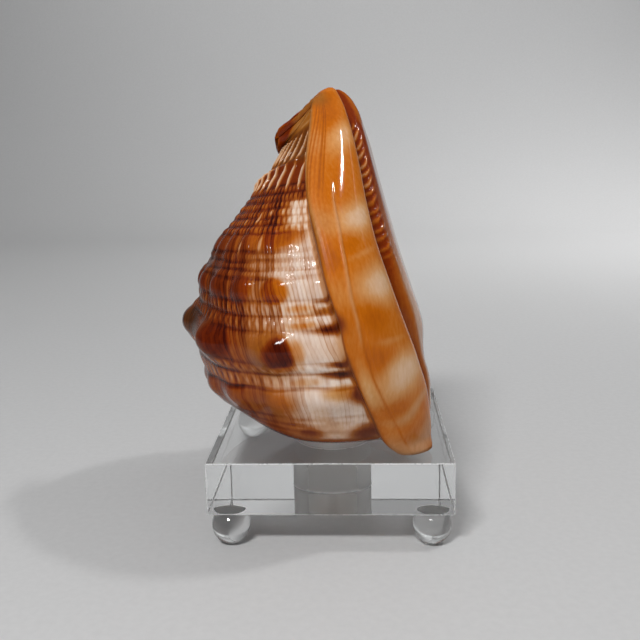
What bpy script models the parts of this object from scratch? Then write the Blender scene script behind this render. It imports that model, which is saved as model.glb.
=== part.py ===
"""Bull-mouth helmet shell standing spire down in a drilled clear block on four balls.

The shell is one grown piece: a body whorl that widens as it turns, a thick outer
lip on the front, a long slot of an aperture facing +X, a broad shield behind the
slot, and a short canal bent back over the top. Z is up, the slot faces +X, and the
origin is at the middle of the bottom of the whole object's box.
"""
import bpy
import bmesh
import numpy as np
from math import atan2, cos, degrees, exp, log, pi, radians, sin
from mathutils import Vector

MM = 0.001

# ---- stand, in millimetres -------------------------------------------------
BLOCK_SIDE = 90.0
BLOCK_THICK = 20.0
BLOCK_BOTTOM = 14.0
BLOCK_EDGE = 0.6
BORE_RADIUS = 15.3
BORE_SIDES = 48
BALL_RADIUS = 7.3
BALL_CENTRE = 37.5
BALL_SEAT = 0.15
GLUE_GAP = 0.3

# ---- shell, in millimetres and degrees --------------------------------------
APEX_HEIGHT = 26.0
GROWTH = log(1.12) / 90
RISE = 6.5 / 90
SHIELD_EDGE = 72.0
SHIELD_EDGE_CANAL = 95.0
AROUND_BODY = 40

# Stations run along the axis from the spire (26) to the tip of the canal (168).
# The body's outline opposite the mouth: station, radius, height.
OUTLINE = [
    (26, 0, 26), (31, 9.5, 31.2), (35.5, 19.5, 36.4), (39, 31, 39.1), (43.5, 40.5, 42.8),
    (49, 44.6, 48.8), (57, 47.9, 57), (68, 52, 68), (78, 52.3, 78), (88, 50.5, 88),
    (98, 47.5, 98), (108, 42.8, 108), (117, 36.8, 117), (125, 30.6, 125),
    (132.5, 24.5, 132.5), (139, 19.5, 139), (144, 17.3, 142.3), (154, 17.5, 143.2),
    (162, 18.9, 142.8), (168, 20.8, 142.6)]
# The lip's front rim beside the slot: station, x, y, z.
RIM = [
    (36, 21, -22, 34.5), (39, 35.5, -31, 33.6), (43, 37.2, -31, 40.8), (49, 36, -35, 54),
    (61.5, 31.8, -41, 70.5), (76, 26.6, -44, 85.5), (90, 21.8, -44, 99.5),
    (104, 17.1, -40.5, 113.5), (117, 13.9, -34, 126.6), (130, 11.4, -26, 140),
    (142, 8, -18, 153.6), (149, 5.2, -13, 160.9), (155, 1.2, -10.5, 165.3),
    (162, -8.6, -9.5, 158.2), (168, -18, -7.5, 150.5)]
# The edge where the lip turns back on the body: station, x, y, z.
LIP_BACK = [
    (36, 17, -23, 34.5), (39, 25.5, -35.5, 33.4), (43, 20.8, -43, 40), (49, 16.3, -50.5, 51.8),
    (57, 12.6, -56.5, 62), (68, 8, -60.5, 77), (80, 5.2, -61.5, 90), (92, 1.1, -59.5, 103),
    (104, -2.2, -54, 115.5), (117, -5.6, -45, 128), (130, -6.5, -34, 140.5),
    (142, -5.5, -22.5, 153), (149, -5.1, -17, 158.6), (155, -4.5, -13.5, 161),
    (162, -10.8, -11, 155.2), (168, -18.6, -8.2, 148.3)]
# The crest of the shield behind the slot: station, x, y, z.
SHIELD = [
    (36, 21, -12, 35.5), (39, 31, -8, 38.5), (43, 36, -6, 44), (49, 38, -5, 52),
    (61.5, 36.2, -4, 63), (76, 35, -4, 78), (90, 29.9, -4, 92.5), (104, 24.8, -4, 107.5),
    (117, 21.2, -3, 122), (130, 17.2, -2, 137), (142, 13.8, -1, 150), (149, 11.2, 0, 158),
    (155, 7, 2.8, 162), (162, -6, 6, 157.5), (168, -18, 6, 151)]
# The slot: station, width, depth, how far the hollow runs round inside the body
# in degrees, and the way the slot faces in degrees up from +X.
SLOT = [
    (36, 3, 1, 0, -80), (39, 3.2, 2.5, 0, -70), (43, 4.5, 5.5, 8, -25), (49, 6.5, 14, 35, -3),
    (61.5, 8.5, 24, 72, 0), (76, 9, 26, 76, 0), (90, 9, 25, 74, 0), (104, 8.5, 22, 66, 0),
    (117, 8, 18, 52, 0), (130, 7.5, 14, 34, 8), (142, 7, 11, 16, 22), (149, 7.5, 10, 8, 38),
    (155, 8.5, 11, 4, 56), (162, 9, 8.2, 0, 75), (168, 7, 1, 0, 95)]
# Rows of knobs: station, half height, knob pitch, angle of one knob, half width of a
# knob in degrees, relief of the knobs, relief of the ridge they stand on, and how far
# the row sits higher where the whorl is younger.
KNOB_ROWS = [
    (55.5, 4.2, 20.5, 251, 6.5, 1.7, 0.8, 1), (73, 6.3, 31, 252, 7.6, 4.6, 1.3, 5.5),
    (93.5, 4.8, 15.5, 252, 5.2, 2.1, 0.6, 2), (108, 5.2, 11, 243, 4, 1.1, 0.4, 0)]
CANAL_RIDGE = (131.4, 0.11, 211, 1.8, 1.2)

COLLECTION = "helmet shell"


def tidy_scene():
    for old in list(bpy.data.objects):
        bpy.data.objects.remove(old, do_unlink=True)


def new_collection(name):
    group = bpy.data.collections.new(name)
    bpy.context.scene.collection.children.link(group)
    return group


def move_to(obj, group):
    for old in list(obj.users_collection):
        old.objects.unlink(obj)
    group.objects.link(obj)


def material(name, colour, roughness, alpha=1.0, transmission=0.0, ior=1.5):
    mat = bpy.data.materials.new(name)
    mat.use_nodes = True
    shader = mat.node_tree.nodes["Principled BSDF"]
    shader.inputs["Base Color"].default_value = (*colour, 1)
    shader.inputs["Roughness"].default_value = roughness
    shader.inputs["Metallic"].default_value = 0
    shader.inputs["Transmission Weight"].default_value = transmission
    shader.inputs["IOR"].default_value = ior
    shader.inputs["Alpha"].default_value = alpha
    return mat


# ---- curves and blends -------------------------------------------------------
def through(knots, values, where):
    """A smooth curve through the given stations, with finite-difference slopes."""
    knots = np.asarray(knots, float)
    values = np.asarray(values, float).reshape(len(knots), -1)
    where = np.clip(np.atleast_1d(where), knots[0], knots[-1])
    slope = np.gradient(values, knots, axis=0)
    i = np.clip(np.searchsorted(knots, where) - 1, 0, len(knots) - 2)
    h = knots[i + 1] - knots[i]
    t = ((where - knots[i]) / h)[:, None]
    h = h[:, None]
    return ((2 * t**3 - 3 * t**2 + 1) * values[i] + (t**3 - 2 * t**2 + t) * h * slope[i]
            + (3 * t**2 - 2 * t**3) * values[i + 1] + (t**3 - t**2) * h * slope[i + 1])


def station(table, w):
    rows = np.asarray(table, float)
    return through(rows[:, 0], rows[:, 1:], w)[0]


def blend(start, end, x):
    t = np.clip((x - start) / (end - start), 0, 1)
    return t * t * (3 - 2 * t)


# ---- the body whorl ------------------------------------------------------------
def relief(angle, w):
    """Height of the knobs and of the ridge under the canal above the plain whorl."""
    near_lip = 1 - 0.45 * blend(225, 262, angle)
    late = blend(SHIELD_EDGE + 3, SHIELD_EDGE + 14, angle) * (1 - blend(278, 286, angle))
    total = np.zeros_like(angle)
    for centre, half, pitch, first, wide, high, ridge, lift in KNOB_ROWS:
        up = (w - centre - lift * blend(245, 190, angle)) / half
        along = ((angle - first + pitch / 2) % pitch - pitch / 2) / wide
        dome = np.exp(-(up**2 + along**2)**1.35)
        total += near_lip * (high * dome + ridge * np.exp(-up**2))
    low, climb, start, half, high = CANAL_RIDGE
    total += high * np.exp(-((w - low - climb * (angle - start)) / half)**2)
    return total * late * np.exp(GROWTH * (angle - 230))


def whorl(angle, w, raised=True):
    """Points of the body whorl at the given angles round the axis, in degrees."""
    radius, height = station(OUTLINE, w)
    after = station(OUTLINE, min(w + 0.5, 168))
    before = station(OUTLINE, max(w - 0.5, 26))
    run = after - before
    run /= np.hypot(*run) + 1e-9
    widening = blend(31, 48, w) + 0.35 * np.exp(-((w - 55) / 5.5)**2)
    grown = radius * np.exp(GROWTH * (angle - 180) * widening)
    climbed = height + RISE * (angle - 180) * blend(38, 58, w)**1.5
    base = blend(34, 43, w) * (1 - blend(44, 51, w))
    climbed += base * (5.6 * (1 - blend(214, 262, angle)) - 1.4) * blend(90, 170, angle)
    bump = relief(angle, w) if raised else 0
    out = grown + bump * run[1]
    turn = np.radians(angle)
    return np.stack([out * np.cos(turn), out * np.sin(turn), climbed - bump * run[0]], 1)


def body_section(angle, w, root, edge):
    """The whorl at one station, narrowing into the canal near the top."""
    points = whorl(angle, w)
    canal = blend(140, 154, w)
    if canal == 0:
        return points
    radius, height = station(OUTLINE, w)
    back = np.array([-radius, 0, height])
    side = np.where(angle >= 180, (angle - 180) / (angle[-1] - 180),
                    (180 - angle) / (180 - angle[0]))
    ends = np.where((angle >= 180)[:, None], root, edge)
    swing = side * pi / 2
    wall = back + (ends - back) * (1 - np.cos(swing))[:, None]
    wall[:, 1] = ends[:, 1] * np.sin(swing) * 1.06
    return points * (1 - canal) + wall * canal


# ---- one closed section through the whole shell -----------------------------------
def section(w):
    rim, back, crest = station(RIM, w), station(LIP_BACK, w), station(SHIELD, w)
    width, depth, reach, lean = station(SLOT, w)
    lean = radians(lean)
    outward = np.array([cos(lean), 0, sin(lean)])
    across = np.array([0, 1, 0])
    canal = blend(140, 154, w)
    grown = blend(35, 41, w)
    tip = blend(150, 168, w)

    root_angle = degrees(atan2(back[1], back[0])) % 360 - 1.5 - 1.5 * tip
    edge_angle = SHIELD_EDGE + (SHIELD_EDGE_CANAL - SHIELD_EDGE) * canal
    angles = np.linspace(edge_angle, root_angle, AROUND_BODY)
    root = back + np.array([0.5, 3 - 2.2 * tip, -1])
    edge = crest + np.array([-3.5, 4.5, -2.5]) * (1 - 0.5 * tip)
    body = body_section(angles, w, root, edge)
    edge = body[0]

    # lip: back edge, swelling side, rim, rolled inner edge
    off = np.array([rim[1] - back[1], back[0] - rim[0], 0])
    off *= (-1 if off[1] > 0 else 1) / np.linalg.norm(off)
    swell = 3.5 * (1 - canal) * grown + 0.6
    ring = [(body[-1], 1), (back, 2)]
    ring += [(back * 0.72 + rim * 0.28 + off * swell * 0.95, 3)]
    ring += [(back * 0.38 + rim * 0.62 + off * swell, 3)]
    ring += [(back * 0.12 + rim * 0.88 + off * swell * 0.55, 1)]
    inner = (3.6 * grown + 0.4) * (1 - 0.3 * tip)
    ring += [(rim, 2)]
    ring += [(rim - outward * 1.6 * grown + across * inner, 2)]

    # hollow behind the slot: a plain trough low down and in the canal, and between
    # them a chamber that follows the body whorl inside its wall
    trough = []
    for down, over in ((0.25, 0.0), (0.7, 0.1), (1, 0.35), (1, 0.7), (0.7, 1), (0.25, 1)):
        trough.append(rim - outward * (1.6 * grown + down * depth)
                      + across * (inner + over * width))
    skin = 5.2 * station(OUTLINE, w)[0] / 52 + 0.6
    room = 14.5 * station(OUTLINE, w)[0] / 52
    first = root_angle - 6
    marks = np.array([first, first - 0.45 * reach, first - reach, first - reach - 1,
                      first - 0.45 * reach, first + 4])
    inward = np.array([0.25, 0, 0.3, 0.8, 1.05, 1.3])
    shrink = skin + inward * room
    chamber = whorl(marks, w, raised=False)
    flat = np.hypot(chamber[:, 0], chamber[:, 1])
    chamber[:, :2] *= ((flat - shrink) / flat)[:, None]
    open_up = blend(43, 54, w) * (1 - blend(124, 136, w))
    for plain, hollow, step in zip(trough, chamber, (2, 3, 1, 3, 3, 2)):
        ring += [(plain * (1 - open_up) + hollow * open_up, step)]

    # columella side of the slot, shield and its edge
    part = 0.35 * (crest[0] - rim[0]) * outward[0] + 0.35 * (crest[2] - rim[2]) * outward[2] * canal
    lip_of_shield = rim + outward * (part - 0.8) + across * (inner + width)
    ring += [(lip_of_shield, 2)]
    front = np.array([1, 0, 0]) * (1 - canal) + outward * canal
    ring += [(lip_of_shield * 0.72 + crest * 0.28 + front * 1.6 * grown, 2), (crest, 3)]
    fill = (front * 5.5 + across * 5) * grown * (1 - canal)
    ring += [(crest * 0.62 + edge * 0.38 + fill, 3)]
    ring += [(crest * 0.25 + edge * 0.75 + fill * 0.9, 3), (edge, 0)]

    marks = np.array([p for p, _ in ring])
    if grown < 1:
        swing = np.degrees(np.arctan2(marks[:, 1], marks[:, 0])) % 360
        swing[swing < 180] += 360
        swing[0] = root_angle
        last = len(swing) - 1
        for i in range(1, last + 1):
            swing[i] = max(swing[i], swing[i - 1] + 0.5)
        for i in range(last, 0, -1):
            swing[i] = min(swing[i], SHIELD_EDGE + 360 - 0.5 * (last - i))
        swing[last] = SHIELD_EDGE + 360
        cone = whorl(swing, w, raised=False)
        start = whorl(np.array([SHIELD_EDGE]), w, raised=False)[0]
        share = np.linspace(0, 1, len(marks))
        flat = np.hypot(cone[:, 0], cone[:, 1])
        even = flat * (1 - share) + np.hypot(start[0], start[1]) * share
        cone[:, :2] *= (even / flat)[:, None]
        cone[:, 2] = cone[:, 2] * (1 - share) + start[2] * share
        marks = cone * (1 - grown) + marks * grown
    steps = [n for _, n in ring][:-1]
    long_marks = np.vstack([body[-4], marks, body[3]])
    gaps = np.linalg.norm(np.diff(long_marks, axis=0), axis=1)
    knots = np.concatenate([[0], np.cumsum(gaps**0.5 + 1e-6)])
    where = []
    for i, count in enumerate(steps):
        for j in range(count):
            where.append(knots[i + 1] + (knots[i + 2] - knots[i + 1]) * j / count)
    return np.vstack([body, through(knots, long_marks, where[1:])])


def stations_along():
    low = [26.6, 28.5, 31, 33.5, 35.4, 37, 38.6, 40.2, 42, 44]
    middle = list(np.arange(47, 141, 3.0))
    high = [143.5, 146, 149, 152, 155, 158.5, 162, 165, 168]
    return low + middle + high


def skins(loop):
    """The canal's outer and inner skin in one section, both from the lip's rim round
    to the crest of the shield."""
    rim = AROUND_BODY + 9
    crest = rim + 22
    inner = list(range(rim, crest + 1))
    outer = [i % len(loop) for i in range(rim, crest - len(loop) - 1, -1)]
    return outer, inner


def arc(points):
    run = np.concatenate([[0], np.cumsum(np.linalg.norm(np.diff(points, axis=0), axis=1))])
    return run / run[-1]


def close_end(mesh, ring, loop):
    """Closes the canal's rim with a strip of triangles between its two skins."""
    outer, inner = skins(loop)
    far, near = arc(loop[outer]), arc(loop[inner])
    i = j = 0
    while i < len(outer) - 1 or j < len(inner) - 1:
        a, b = ring[outer[i]], ring[inner[j]]
        if j == len(inner) - 1 or (i < len(outer) - 1 and far[i + 1] <= near[j + 1]):
            i += 1
            c = ring[outer[i]]
        else:
            j += 1
            c = ring[inner[j]]
        if len({a, b, c}) == 3:
            mesh.faces.new((a, b, c))


def build_shell(group):
    levels = stations_along()
    loops = [section(w) for w in levels]
    mesh = bmesh.new()
    rings = [[mesh.verts.new(p * MM) for p in loop] for loop in loops]
    around = len(rings[0])
    for low, high in zip(rings, rings[1:]):
        for j in range(around):
            k = (j + 1) % around
            mesh.faces.new((low[j], low[k], high[k], high[j]))
    apex = mesh.verts.new((0, 0, APEX_HEIGHT * MM))
    for j in range(around):
        mesh.faces.new((apex, rings[0][(j + 1) % around], rings[0][j]))
    close_end(mesh, rings[-1], loops[-1])
    bmesh.ops.recalc_face_normals(mesh, faces=mesh.faces)
    data = bpy.data.meshes.new("shell")
    mesh.to_mesh(data)
    mesh.free()
    data.shade_smooth()
    shell = bpy.data.objects.new("shell", data)
    group.objects.link(shell)
    shell.data.materials.append(material("glazed_shell", (0.55, 0.24, 0.08), 0.25))
    return shell


# ---- the stand --------------------------------------------------------------------
def build_block(group, cutters, clear):
    height = BLOCK_BOTTOM + BLOCK_THICK / 2
    bpy.ops.mesh.primitive_cube_add(size=1, location=(0, 0, height * MM))
    block = bpy.context.active_object
    block.name = "acrylic_block"
    block.dimensions = (BLOCK_SIDE * MM, BLOCK_SIDE * MM, BLOCK_THICK * MM)
    bpy.ops.object.transform_apply(location=False, rotation=False, scale=True)
    move_to(block, group)

    bpy.ops.mesh.primitive_cylinder_add(
        vertices=BORE_SIDES, radius=BORE_RADIUS * MM, depth=BLOCK_THICK * 2 * MM,
        location=(0, 0, height * MM))
    drill = bpy.context.active_object
    drill.name = "bore_cutter"
    drill.hide_render = True
    drill.display_type = "WIRE"
    move_to(drill, cutters)

    bore = block.modifiers.new("bore", "BOOLEAN")
    bore.object = drill
    bore.operation = "DIFFERENCE"
    bore.solver = "EXACT"
    edges = block.modifiers.new("polished_edges", "BEVEL")
    edges.width = BLOCK_EDGE * MM
    edges.segments = 1
    edges.limit_method = "ANGLE"
    edges.angle_limit = radians(40)
    block.data.materials.append(clear)
    return block


def build_ball(name, x, y, group, clear):
    """A clear ball with a small seat below and a glued flat against the block above."""
    centre = BALL_RADIUS - BALL_SEAT
    mesh = bmesh.new()
    bmesh.ops.create_uvsphere(mesh, u_segments=18, v_segments=10, radius=BALL_RADIUS * MM)
    top = BLOCK_BOTTOM - GLUE_GAP - centre
    for height, side in ((-centre, -1), (top, 1)):
        cut = bmesh.ops.bisect_plane(
            mesh, geom=mesh.verts[:] + mesh.edges[:] + mesh.faces[:], dist=1e-7,
            plane_co=(0, 0, height * MM), plane_no=(0, 0, side), clear_outer=True)
        rim = [g for g in cut["geom_cut"] if isinstance(g, bmesh.types.BMEdge)]
        bmesh.ops.contextual_create(mesh, geom=rim)
    bmesh.ops.recalc_face_normals(mesh, faces=mesh.faces)
    data = bpy.data.meshes.new(name)
    mesh.to_mesh(data)
    mesh.free()
    data.shade_smooth()
    data.set_sharp_from_angle(angle=radians(40))
    ball = bpy.data.objects.new(name, data)
    ball.location = (x * MM, y * MM, centre * MM)
    ball.data.materials.append(clear)
    group.objects.link(ball)
    return ball


def set_origin(objects):
    """Puts the world origin at the middle of the bottom of the object's box."""
    bpy.context.view_layer.update()
    corners = [obj.matrix_world @ Vector(c) for obj in objects for c in obj.bound_box]
    low = [min(c[i] for c in corners) for i in range(3)]
    high = [max(c[i] for c in corners) for i in range(3)]
    shift = Vector(((low[0] + high[0]) / 2, (low[1] + high[1]) / 2, low[2]))
    for obj in bpy.data.objects:
        obj.location -= shift
    return shift


def main():
    tidy_scene()
    group = new_collection(COLLECTION)
    cutters = new_collection("cutters")
    clear = material("clear_acrylic", (0.93, 0.95, 0.95), 0.03, alpha=0.35, transmission=1.0, ior=1.49)
    parts = [build_shell(group), build_block(group, cutters, clear)]
    for depth, y in (("front", -1), ("back", 1)):
        for side, x in (("left", -1), ("right", 1)):
            name = f"foot_{depth}_{side}"
            parts.append(build_ball(name, x * BALL_CENTRE, y * BALL_CENTRE, group, clear))
    set_origin(parts)


main()
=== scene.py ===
from math import atan2, cos, degrees, log, pi, radians, sin

import bmesh
import bpy
import numpy as np
from mathutils import Matrix, Vector


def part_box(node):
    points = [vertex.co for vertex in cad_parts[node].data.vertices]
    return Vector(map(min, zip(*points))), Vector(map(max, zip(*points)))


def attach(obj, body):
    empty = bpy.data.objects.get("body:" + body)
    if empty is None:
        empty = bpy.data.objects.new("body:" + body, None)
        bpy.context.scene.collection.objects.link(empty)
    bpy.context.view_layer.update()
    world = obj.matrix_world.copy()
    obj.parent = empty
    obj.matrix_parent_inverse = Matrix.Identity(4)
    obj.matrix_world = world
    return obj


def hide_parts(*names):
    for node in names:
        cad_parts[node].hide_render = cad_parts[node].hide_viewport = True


# A bull-mouth helmet shell, stood spire down in the bore of a clear block on four balls.
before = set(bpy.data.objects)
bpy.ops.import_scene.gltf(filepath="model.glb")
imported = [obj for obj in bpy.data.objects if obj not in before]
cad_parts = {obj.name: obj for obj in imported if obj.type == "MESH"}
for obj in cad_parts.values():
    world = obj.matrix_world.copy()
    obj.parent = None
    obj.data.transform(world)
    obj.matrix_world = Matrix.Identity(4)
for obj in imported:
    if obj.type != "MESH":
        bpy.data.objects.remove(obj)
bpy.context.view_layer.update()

# ---- the block ----
# A square of clear cast acrylic sawn from thick sheet, its faces polished and its edges
# scraped round. The bore is drilled from both faces and left as it came off the drill, so
# its wall is frosted and a faint ridge runs round it half way down.
MM = 0.001
SCENE = bpy.context.scene


def node_box(node):
    """The lowest and highest corners of a node and the middle of the ground under it."""
    low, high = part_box(node)
    return low, high, Vector(((low.x + high.x) / 2, (low.y + high.y) / 2, 0))


block_low, block_high, AXIS = node_box("acrylic_block")
HALF_SIDE = (block_high.x - block_low.x) / 2 / MM
BLOCK_BOTTOM, BLOCK_TOP = block_low.z / MM, block_high.z / MM
BORE_RADIUS = 15.3
BORE_LIP = 0.3
BORE_STEPS = 24
DRILL_RIDGE = 0.16
EDGE_ROUND = 0.35
EDGE_STEPS = 4
ROUND_BLOCK = 192
PER_SIDE = ROUND_BLOCK // 4
CORNER_STEPS = 8


def rounded_square(inset):
    """Points round the block, with rounded corners, one for each point round the bore."""
    straight = HALF_SIDE - inset - EDGE_ROUND
    points = []
    for quarter in range(4):
        turn = pi / 2 * quarter
        for i in range(PER_SIDE):
            if i <= CORNER_STEPS:
                a = pi / 2 * i / CORNER_STEPS
                x, y = straight + EDGE_ROUND * cos(a), straight + EDGE_ROUND * sin(a)
            else:
                along = (i - CORNER_STEPS) / (PER_SIDE - CORNER_STEPS)
                x, y = straight * (1 - 2 * along), straight + EDGE_ROUND
            points.append((x * cos(turn) - y * sin(turn), x * sin(turn) + y * cos(turn)))
    return points


def bore_circle(radius):
    first = pi / 4 - pi * CORNER_STEPS / ROUND_BLOCK
    angles = [first + 2 * pi * i / ROUND_BLOCK for i in range(ROUND_BLOCK)]
    return [(radius * cos(a), radius * sin(a)) for a in angles]


def bell(x, at, half):
    return np.exp(-((x - at) / half)**2)


def block_loops():
    """Loops up the bore wall, out over the top, down the sides and back underneath, each
    with its height and whether the band after it is a flat face or part of the bore."""
    middle = (BLOCK_BOTTOM + BLOCK_TOP) / 2
    loops = [(bore_circle(BORE_RADIUS + BORE_LIP), BLOCK_BOTTOM, "edge")]
    for step in range(BORE_STEPS + 1):
        wall = BLOCK_TOP - BLOCK_BOTTOM - 2 * BORE_LIP
        z = BLOCK_BOTTOM + BORE_LIP + wall * step / BORE_STEPS
        ridge = DRILL_RIDGE * bell(z, middle, 0.5)
        kind = "edge" if step == BORE_STEPS else "bore"
        loops.append((bore_circle(BORE_RADIUS - ridge), z, kind))
    loops.append((bore_circle(BORE_RADIUS + BORE_LIP), BLOCK_TOP, "flat"))
    for top in (True, False):
        for step in range(EDGE_STEPS + 1):
            a = pi / 2 * step / EDGE_STEPS
            inset = EDGE_ROUND * (1 - (sin(a) if top else cos(a)))
            drop = EDGE_ROUND * (1 - (cos(a) if top else sin(a)))
            z = BLOCK_TOP - drop if top else BLOCK_BOTTOM + drop
            loops.append((rounded_square(inset), z, "flat" if step == EDGE_STEPS else "edge"))
    return loops


def placed(data, place):
    piece = bpy.data.objects.new(data.name, data)
    piece.location = place
    SCENE.collection.objects.link(piece)
    return piece


def standing(mesh, name, place):
    data = bpy.data.meshes.new(name)
    mesh.to_mesh(data)
    mesh.free()
    return placed(data, place)


def closed_rings(mesh, rings):
    """Smooth bands between rings of points, and a flat face over each end."""
    for low, high in zip(rings, rings[1:]):
        for j in range(len(low)):
            k = (j + 1) % len(low)
            mesh.faces.new((low[j], low[k], high[k], high[j])).smooth = True
    mesh.faces.new(rings[0][::-1])
    mesh.faces.new(rings[-1])


def clear_block():
    mesh = bmesh.new()
    loops = block_loops()
    rings = [[mesh.verts.new((x * MM, y * MM, z * MM)) for x, y in ring]
             for ring, z, _ in loops]
    for i, (low, (_, z, kind)) in enumerate(zip(rings, loops)):
        following = (i + 1) % len(rings)
        high, side = rings[following], abs(loops[following][1] - z) > 1
        for j in range(ROUND_BLOCK):
            k = (j + 1) % ROUND_BLOCK
            face = mesh.faces.new((low[j], high[j], high[k], low[k]))
            corner = kind == "flat" and side and j % PER_SIDE < CORNER_STEPS
            face.smooth = kind != "flat" or corner
            face.material_index = {"bore": 1, "edge": 2}.get(kind, 2 if corner else 0)
    bmesh.ops.recalc_face_normals(mesh, faces=mesh.faces)
    return standing(mesh, "clear_block", AXIS)


class Nodes:
    """A material's node tree, written one named step after another."""

    def __init__(self, name, clear=0, bend=1.5):
        self.material = bpy.data.materials.new(name)
        self.material.use_nodes = True
        self.tree = self.material.node_tree
        self.shader = self.tree.nodes["Principled BSDF"]
        self.shader.inputs["Transmission Weight"].default_value = clear
        self.shader.inputs["IOR"].default_value = bend
        self.place = self.add("TexCoord").outputs["Object"]

    def add(self, kind, inputs=None, **settings):
        node = self.tree.nodes.new("ShaderNode" + kind)
        for key, value in settings.items():
            setattr(node, key, value)
        for key, value in (inputs or {}).items():
            self.feed(node.inputs[key], value)
        return node

    def feed(self, socket, value):
        if isinstance(value, bpy.types.Node):
            value = value.outputs[0]
        if isinstance(value, bpy.types.NodeSocket):
            self.tree.links.new(value, socket)
        else:
            socket.default_value = value

    def math(self, operation, a, b=0, clamp=False):
        return self.add("Math", {0: a, 1: b}, operation=operation, use_clamp=clamp)

    def fit(self, value, low, high, to_low=0, to_high=1):
        return self.add("MapRange", {0: value, 1: low, 2: high, 3: to_low, 4: to_high})

    def noise(self, scale, detail=3):
        """Noise at one scale, or stretched by a scale of its own in each direction."""
        where = self.place
        if isinstance(scale, tuple):
            where = self.add("VectorMath", {0: where, 1: scale}, operation="MULTIPLY")
            scale = 1
        return self.add("TexNoise", {"Vector": where, "Scale": scale, "Detail": detail})

    def mix(self, share, a, b):
        return self.add("Mix", {0: share, 6: a, 7: b}, data_type="RGBA").outputs[2]

    def ramp(self, share, colours):
        """Colours at even steps from 0 to 1."""
        node = self.add("ValToRGB", {0: share})
        while len(node.color_ramp.elements) < len(colours):
            node.color_ramp.elements.new(0.5)
        for i, (element, colour) in enumerate(zip(node.color_ramp.elements, colours)):
            element.position = i / (len(colours) - 1)
            element.color = (*colour, 1)
        return node.outputs[0]

    def finish(self, colour, roughness, height, strength, depth):
        """Colour and polish, with fine marks of the given height in the surface."""
        marks = self.add("Bump", {"Height": height, "Strength": strength, "Distance": depth})
        for name, value in (("Base Color", colour), ("Roughness", roughness), ("Normal", marks)):
            self.feed(self.shader.inputs[name], value)
        return self.material


def polished_acrylic():
    """Clear and faintly cool, with hairline wiping marks and a little haze."""
    n = Nodes("polished_acrylic", 1, 1.49)
    haze = n.fit(n.noise(60, 4), 0.35, 0.75, 0, 0.025)
    return n.finish((0.975, 0.985, 0.985, 1), haze, n.noise((2500, 300, 900), 2), 0.012, 0.0002)


def drilled_acrylic():
    """The same plastic as the drill left it: fine rings cut round the wall."""
    n = Nodes("drilled_acrylic", 0.6, 1.49)
    torn = n.noise(900)
    cut = n.mix(0.35, n.noise((40, 40, 5200), 4), torn)
    return n.finish((0.78, 0.75, 0.71, 1), n.fit(torn, 0.3, 0.7, 0.5, 0.6), cut, 0.25, 0.00005)


def scraped_acrylic():
    """The edges, drawn smooth with a scraper and flamed, which leaves a satin line."""
    n = Nodes("scraped_acrylic", 0.4, 1.49)
    drawn = n.noise(400)
    return n.finish((0.9, 0.91, 0.91, 1), n.fit(drawn, 0.3, 0.7, 0.22, 0.4), drawn, 0.2, 0.00005)


block = clear_block()
POLISHED = polished_acrylic()
for plastic in (POLISHED, drilled_acrylic(), scraped_acrylic()):
    block.data.materials.append(plastic)
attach(block, "root")
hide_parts("acrylic_block")

# ---- the feet ----
# Four solid balls of clear acrylic, turned and polished, one near each corner. Each has a
# small flat below, where it stands, and one above, where it is glued under the block.
FEET = ["foot_front_left", "foot_front_right", "foot_back_left", "foot_back_right"]
FLAT_DEPTH = 0.15
BALL_POINTS = 72
BALL_RINGS = 48


def ball_foot(node):
    low, high, centre = node_box(node)
    radius = (high.x - low.x) / 2
    middle = radius - FLAT_DEPTH * MM
    bottom, top = low.z - middle, high.z - middle
    slopes = pi * np.arange(BALL_RINGS + 1) / BALL_RINGS
    heights, widths = -radius * np.cos(slopes), radius * np.sin(slopes)
    levels = [bottom, *heights[(heights > bottom) & (heights < top)], top]
    turns = 2 * pi * np.arange(BALL_POINTS) / BALL_POINTS
    mesh = bmesh.new()
    closed_rings(mesh, [[mesh.verts.new((r * cos(a), r * sin(a), z)) for a in turns]
                        for z, r in zip(levels, np.interp(levels, heights, widths))])
    return standing(mesh, "ball_" + node, centre + Vector((0, 0, middle)))


for node in FEET:
    ball = ball_foot(node)
    ball.data.materials.append(POLISHED)
    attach(ball, "root")
    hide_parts(node)

# ---- the glue ----
# A drop of clear solvent cement under each corner, pressed out into a thin uneven disc
# between the ball's flat and the block, with a few tiny bubbles caught in it.
GLUE_RADIUS = 5.6
GLUE_CLEAR = 0.03
GLUE_SUNK = 0.04
GLUE_POINTS = 48
BUBBLES = 7


def glue_spot(node, number):
    _, flat, centre = node_box(node)
    bottom, top = flat.z / MM + GLUE_CLEAR, BLOCK_BOTTOM + GLUE_SUNK
    middle = (bottom + top) / 2
    mesh = bmesh.new()
    rings = []
    for z, waist in ((bottom, 1), (middle, 0.93), (top, 1.04)):
        ring = []
        for i in range(GLUE_POINTS):
            a = 2 * pi * i / GLUE_POINTS
            r = GLUE_RADIUS * waist * (1 + 0.04 * sin(3 * a + number) + 0.03 * sin(5 * a - number))
            ring.append(mesh.verts.new((r * cos(a) * MM, r * sin(a) * MM, z * MM)))
        rings.append(ring)
    closed_rings(mesh, rings)
    for i in range(BUBBLES):
        a, r = 2.4 * i + number, GLUE_RADIUS * (0.25 + 0.1 * i)
        bubble = bmesh.ops.create_icosphere(
            mesh, subdivisions=2, radius=(0.05 + 0.012 * (i % 3)) * MM,
            matrix=Matrix.Translation(Vector((r * cos(a), r * sin(a), middle)) * MM))
        inside_out = {f for v in bubble["verts"] for f in v.link_faces}
        bmesh.ops.reverse_faces(mesh, faces=list(inside_out))
    return standing(mesh, "glue_" + node, centre)


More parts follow.
